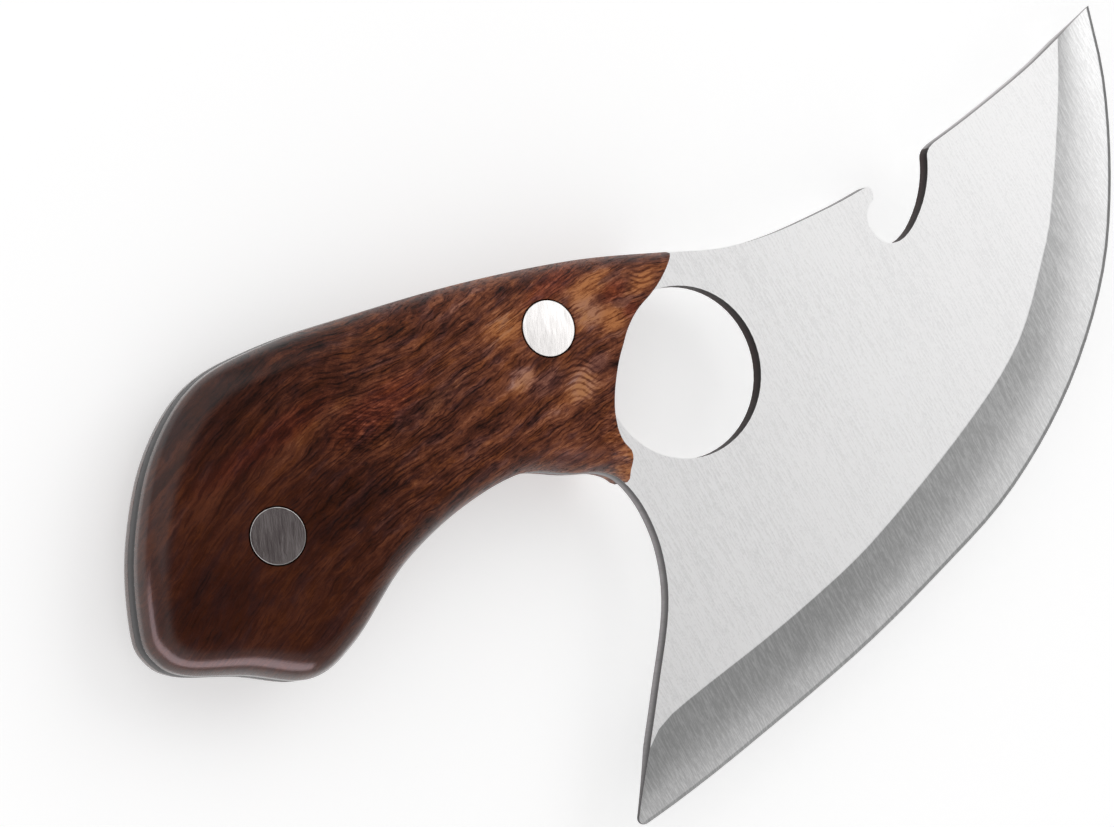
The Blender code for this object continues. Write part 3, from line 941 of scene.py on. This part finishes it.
def curlyLines(tree, place, push):
    # Swaying lines, close together, that lie across the grain
    look = woodLook
    leant = laid(tree, place, (1, 1, 1), (0, 0, look["curlLean"]))
    leantX, leantY, _ = put(tree, "ShaderNodeSeparateXYZ", {0: leant}).outputs
    wave, swing, crest = look["curlWave"]
    turn = calc(tree, "MULTIPLY", calc(tree, "SUBTRACT", leantX, crest), math.tau / wave)
    curled = calc(tree, "MULTIPLY_ADD", calc(tree, "COSINE", turn), -swing, leantY)
    phase = calc(tree, "MULTIPLY_ADD", push, look["curlPush"],
                 calc(tree, "MULTIPLY", curled, math.tau / look["curlGap"]))
    return spanOf(tree, calc(tree, "SINE", phase), *look["curlEdge"])


def woodParts(tree, place, x, y, z):
    # Every pattern and mask that the wood is made of, by name
    look = woodLook
    across = acrossGrain(tree, place, x, y)
    grain = put(tree, "ShaderNodeCombineXYZ", {0: x, 1: across, 2: z}).outputs[0]
    parts = {}
    for kind, settings in look["alongGrain"].items():
        parts[kind] = patternOf(tree, grain, **settings)
    for kind, settings in look["inBlock"].items():
        parts[kind] = patternOf(tree, place, **settings)
    for kind, spots in look["spots"].items():
        parts[kind] = spotsOf(tree, place, spots)
    parts["pores"] = spanOf(tree, parts["dashes"], *look["poreEdge"])
    parts["nearHole"] = spanOf(tree, x, *look["nearHole"])
    # Painted shade: darker towards the butt
    parts["butt"] = spanOf(tree, x, *look["butt"])
    violetPatch = spanOf(tree, parts["patch"], *look["violetPatch"])
    parts["violet"] = calc(tree, "MAXIMUM", violetPatch, parts["violet"])
    warmPatch = spanOf(tree, parts["patch"], *look["warmPatch"])
    parts["warm"] = calc(tree, "MAXIMUM", warmPatch, parts["orange"])

    # The curls take the place of the dark lines
    lines = darkLines(tree, across, parts["push"], parts["shown"])
    parts["ruled"] = calc(tree, "MULTIPLY", lines, calc(tree, "SUBTRACT", 1.0, parts["curly"]))
    curl = curlyLines(tree, place, parts["push"])
    parts["curl"] = calc(tree, "MULTIPLY", curl, parts["curly"])
    return parts


def woodTone(tree, parts, x):
    look = woodLook
    tone = 0.0
    for kind, share in look["figure"].items():
        tone = swayed(tree, tone, parts[kind], share)
    fleckShare = calc(tree, "MULTIPLY", parts["flecked"], look["fleckShare"])
    tone = swayed(tree, tone, parts["flecks"], fleckShare)
    calm = calc(tree, "MULTIPLY_ADD", parts["curly"], look["curlCalm"], 1.0)
    tone = calc(tree, "MULTIPLY", tone, calm)
    tone = calc(tree, "MULTIPLY_ADD", parts["curl"], look["curlShare"], tone)
    tone = calc(tree, "MULTIPLY_ADD", parts["ruled"], look["lineShare"], tone)
    tone = calc(tree, "MULTIPLY_ADD", parts["pores"], look["poreShare"], tone)
    fade = spanOf(tree, x, *look["figureFade"])
    tone = calc(tree, "MULTIPLY_ADD", tone, fade, look["tone"])
    arcShare = calc(tree, "MULTIPLY", parts["arched"], look["arcShare"])
    tone = swayed(tree, tone, parts["arcs"], arcShare)
    for kind, share in look["lift"].items():
        tone = calc(tree, "MULTIPLY_ADD", parts[kind], share, tone)
    return calc(tree, "MAXIMUM", calc(tree, "MINIMUM", tone, 1.0), 0.0)


def rosewood():
    look = woodLook
    made, tree, shader = newMaterial("rosewood")
    place = put(tree, "ShaderNodeTexCoord").outputs["Object"]
    x, y, z = put(tree, "ShaderNodeSeparateXYZ", {0: place}).outputs
    parts = woodParts(tree, place, x, y, z)
    colour = colourBand(tree, woodTone(tree, parts, x), look["colours"])
    for kind, wash in look["washes"].items():
        washed = tint(tree, 1.0, colour, (*wash, 1), "MULTIPLY")
        colour = tint(tree, parts[kind], colour, washed)
    tree.links.new(colour, shader.inputs["Base Color"])

    rough, poreRough, fibreRough = look["roughness"]
    rough = calc(tree, "MULTIPLY_ADD", parts["pores"], poreRough, rough)
    rough = swayed(tree, rough, parts["fibres"], fibreRough)
    tree.links.new(rough, shader.inputs["Roughness"])
    fibreRelief = calc(tree, "MULTIPLY", parts["fibres"], look["fibreRelief"])
    height = calc(tree, "MULTIPLY_ADD", parts["pores"], -1.0, fibreRelief)
    roughen(tree, shader, height, *look["relief"])

    normal = put(tree, "ShaderNodeTexCoord").outputs["Normal"]
    upright = put(tree, "ShaderNodeSeparateXYZ", {0: normal}).outputs[2]
    upright = calc(tree, "ABSOLUTE", upright)
    polish = calc(tree, "MAXIMUM", spanOf(tree, upright, *look["rim"]),
                  spanOf(tree, upright, *look["rimFoot"]))
    polish = calc(tree, "MULTIPLY", polish, spanOf(tree, x, *look["rimFade"]))
    tree.links.new(polish, shader.inputs["Coat Weight"])
    shader.inputs["Specular IOR Level"].default_value = look["shine"]
    shader.inputs["Coat Roughness"].default_value = look["coatRoughness"]
    return made


wood = rosewood()
woods = (
    makeScale("front_scale", "frontWood", 1, wood),
    makeScale("back_scale", "backWood", -1, wood),
)
print("scales done")

rivetLook = {
    "colour": (0.89, 0.865, 0.852),
    "tone": (0.97, 0.60),  # and how far the lines show
    "roughness": (0.14, 0.05),  # and what they add
    "brushTurn": math.radians(-32),
    "fineLine": mm(0.14, 1.8, 1.0),
    "coarseLine": mm(0.70, 3.4, 1.0),
    "relief": (0.2, 0.00001),
}


def rivetSteel():
    look = rivetLook
    made, tree, shader = newMaterial("rivetSteel")
    lines = brushed(tree, put(tree, "ShaderNodeTexCoord").outputs["Object"], look)
    mixed = calc(tree, "ADD", lines["Fine"], lines["Coarse"])
    tone, share = look["tone"]
    tone = calc(tree, "MULTIPLY_ADD", calc(tree, "SUBTRACT", mixed, 1.0), share, tone)
    colour = tint(tree, 1.0, (*look["colour"], 1), tone, "MULTIPLY")
    tree.links.new(colour, shader.inputs["Base Color"])
    rough, lineRough = look["roughness"]
    rough = calc(tree, "MULTIPLY_ADD", mixed, lineRough, rough)
    tree.links.new(rough, shader.inputs["Roughness"])
    roughen(tree, shader, lines["Fine"], *look["relief"])
    shader.inputs["Metallic"].default_value = 1.0
    return made


rivetMaterial = rivetSteel()

rivetShape = {
    "radius": 0.0040,
    "depth": 0.0020,
    "cornerBreak": 0.00006,
    "breakRows": 2,
    "proud": 0.00002,
    "pin": 0.0014,
    "tube": 0.0025,
    "tubeBore": 0.0017,
    "gap": 0.0003,
    "pinReach": 0.70,
    # Rings in the face let it follow the crown
    "rings": 3,
    "ringStep": 0.0008,
    "facing": 0.9,  # how straight up or down an end faces
    "leastArea": 0.00001,  # only the head's own face is larger
    "faceReach": 1.5,  # shares of the corner's break within which a point lies in the face
    "shadeAngle": math.radians(12),
}


def addShank(piece, side, seat, hollow):
    # A pin, or the tube that takes it
    shape = rivetShape
    selectFaces(piece, lambda face: face.normal.z * side < -shape["facing"])
    outer = shape["tube"] if hollow else shape["pin"]
    reach = 2 * seat - shape["gap"] if hollow else seat * (1 + shape["pinReach"])
    bpy.ops.mesh.inset(thickness=shape["radius"] - outer)
    bpy.ops.mesh.extrude_region_move(TRANSFORM_OT_translate={"value": (0, 0, -side * reach)})
    if hollow:
        bpy.ops.mesh.inset(thickness=shape["tube"] - shape["tubeBore"])
        bpy.ops.mesh.extrude_region_move(TRANSFORM_OT_translate={"value": (0, 0, side * reach)})


def grindHead(piece, axis, side, top):
    # The head's corner is broken, and its face is ground to the crown of the wood
    shape = rivetShape

    def isHead(face):
        return face.normal.z * side > shape["facing"] and face.calc_area() > shape["leastArea"]

    selectFaces(piece, isHead)
    bpy.ops.mesh.bevel(offset=shape["cornerBreak"], segments=shape["breakRows"], affect="EDGES")
    leaveEdit()
    selectFaces(piece, isHead)
    for _ in range(shape["rings"]):
        bpy.ops.mesh.inset(thickness=shape["ringStep"])
    bpy.ops.mesh.poke()
    leaveEdit()
    face = middle + side * top
    centre = float(crownHeight(axis.x, axis.y))
    for vert in piece.data.vertices:
        if abs(vert.co.z - face) < shape["cornerBreak"] * shape["faceReach"]:
            lift = float(crownHeight(vert.co.x, vert.co.y)) - centre
            vert.co.z += side * lift


def makeRivet(name, node, axis, side, hollow):
    shape = rivetShape
    top = float(crownHeight(axis.x, axis.y)) + shape["proud"]
    seat = top - shape["depth"]
    leaveEdit()
    bpy.ops.object.select_all(action="DESELECT")
    bpy.ops.mesh.primitive_cylinder_add(
        vertices=roundSides,
        radius=shape["radius"],
        depth=shape["depth"],
        location=(axis.x, axis.y, middle + side * (top + seat) / 2),
    )
    piece = bpy.context.active_object
    nameIt(piece, name)
    settle(piece)
    addShank(piece, side, seat, hollow)
    grindHead(piece, axis, side, top)
    takeUp(piece)
    bpy.ops.object.shade_smooth_by_angle(angle=shape["shadeAngle"])
    piece.data.materials.append(rivetMaterial)
    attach(piece, "root")
    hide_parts(node)
    return piece


for label, axis in (("front", frontAxis), ("rear", rearAxis)):
    makeRivet(label + "RivetPin", label + "_rivet_male", axis, 1, False)
    makeRivet(label + "RivetTube", label + "_rivet_female", axis, -1, True)
print("rivets done")

# Studio: a pale floor, a wide soft lamp for the steel, two softer ones for the edges
studio = {
    "surround": 0.50,
    "boardAim": (0.14, -0.08, 0.985),
    "boardReach": (math.radians(14), math.radians(10)),
    "boardTone": 0.04,
    "boardTint": (1, 0.7, 0.72),
    "lamps": {  # direction, distance, width and height, brightness of its face
        "keyLamp": ((0.70, 0.15, 0.70), 1.5, (1.5, 1.3), 0.84),
        "buttLamp": ((-0.75, -0.30, 0.60), 1.5, (1.65, 1.65), 0.42),
        "spineLamp": ((-0.15, 0.85, 0.50), 1.5, (1.65, 1.65), 0.42),
    },
    # It only shows in the polish of the wood, as a bright rim round the butt
    "rimLamp": ((-0.906, -0.423, 0.14), 1.5, (5.0, 1.2), 6.0),
    "rimTint": (1.0, 0.80, 0.85),
    "floorSize": 12,
    "floorTone": 0.80,
    "floorGlow": 0.42,
    "cameraPlace": (-0.34540, 0.15604, 0.79275),
    "cameraLook": (-0.01844, 0.01016, 0.00955),
    "cameraRoll": math.radians(78.078),
    "lens": 195.24,
    "sensor": 36,
    "sight": (0.01, 50),  # the nearest and the farthest that it sees
}


def makeFloor():
    leaveEdit()
    bpy.ops.object.select_all(action="DESELECT")
    bpy.ops.mesh.primitive_plane_add(size=studio["floorSize"], location=(0, 0, cadBox[0].z))
    floor = bpy.context.active_object
    nameIt(floor, "studioFloor")
    made, tree, shader = newMaterial("paleFloor")
    tree.nodes.remove(shader)
    out = tree.nodes["Material Output"]
    tone = studio["floorTone"]
    paper = put(tree, "ShaderNodeBsdfDiffuse", {"Color": (tone, tone, tone, 1)})
    rays = put(tree, "ShaderNodeLightPath").outputs
    seen = calc(tree, "MAXIMUM", rays["Is Camera Ray"], rays["Is Glossy Ray"])
    seen = calc(tree, "MAXIMUM", seen, rays["Is Transmission Ray"])
    glow = put(tree, "ShaderNodeEmission", {
        "Color": (1, 1, 1, 1),
        "Strength": calc(tree, "MULTIPLY", seen, studio["floorGlow"]),
    })
    both = put(tree, "ShaderNodeAddShader", {0: paper.outputs[0], 1: glow.outputs[0]})
    tree.links.new(both.outputs[0], out.inputs["Surface"])
    floor.data.materials.append(made)


def makeWorld():
    world = bpy.data.worlds.new("studio")
    bpy.context.scene.world = world
    world.use_nodes = True
    tree = world.node_tree
    back = tree.nodes["Background"]
    rays = put(tree, "ShaderNodeLightPath").outputs
    level = studio["surround"]
    # A dark board hangs overhead, which the rear rivet reflects
    aim = put(tree, "ShaderNodeTexCoord").outputs["Generated"]
    board = Vector(studio["boardAim"]).normalized()
    toBoard = put(tree, "ShaderNodeVectorMath", {0: aim, 1: board}, operation="DOT_PRODUCT")
    edge, core = (math.cos(angle) for angle in studio["boardReach"])
    level = spanOf(tree, toBoard.outputs["Value"], edge, core, level, studio["boardTone"])
    rest = calc(tree, "SUBTRACT", 1.0, level)
    strength = calc(tree, "MULTIPLY_ADD", rays["Is Camera Ray"], rest, level)
    tree.links.new(strength, back.inputs["Strength"])
    shade = spanOf(tree, toBoard.outputs["Value"], edge, core)
    colour = tint(tree, shade, (1, 1, 1, 1), (*studio["boardTint"], 1))
    tree.links.new(colour, back.inputs["Color"])


def addLamp(name, aim, away, size, glow):
    leaveEdit()
    bpy.ops.object.select_all(action="DESELECT")
    direction = Vector(aim).normalized()
    bpy.ops.object.light_add(type="AREA", location=direction * away)
    lamp = bpy.context.active_object
    nameIt(lamp, name)
    lamp.data.shape = "RECTANGLE"
    lamp.data.size, lamp.data.size_y = size
    lamp.data.energy = glow * math.pi * size[0] * size[1]
    lamp.rotation_euler = direction.to_track_quat("Z", "Y").to_euler()
    lamp.visible_camera = False
    return lamp


def addRimLamp():
    # It is tied to the wood, and shows only in its gloss
    lamp = addLamp("rimLamp", *studio["rimLamp"])
    lamp.data.color = studio["rimTint"]
    lamp.visible_diffuse = False
    polished = bpy.data.collections.new("polished")
    for piece in woods:
        polished.objects.link(piece)
    lamp.light_linking.receiver_collection = polished


def addCamera():
    leaveEdit()
    bpy.ops.object.select_all(action="DESELECT")
    bpy.ops.object.camera_add(location=studio["cameraPlace"])
    camera = bpy.context.active_object
    nameIt(camera, "camera")
    back = Vector(studio["cameraPlace"]) - Vector(studio["cameraLook"])
    level = back.to_track_quat("Z", "Y")
    camera.rotation_mode = "QUATERNION"
    camera.rotation_quaternion = level @ Quaternion((0, 0, 1), studio["cameraRoll"])
    camera.data.sensor_width = studio["sensor"]
    camera.data.lens = studio["lens"]
    camera.data.clip_start, camera.data.clip_end = studio["sight"]
    bpy.context.scene.camera = camera


makeFloor()
makeWorld()
for name, lamp in studio["lamps"].items():
    addLamp(name, *lamp)
addRimLamp()
addCamera()
bpy.context.scene.view_settings.view_transform = "Standard"
print("studio done")
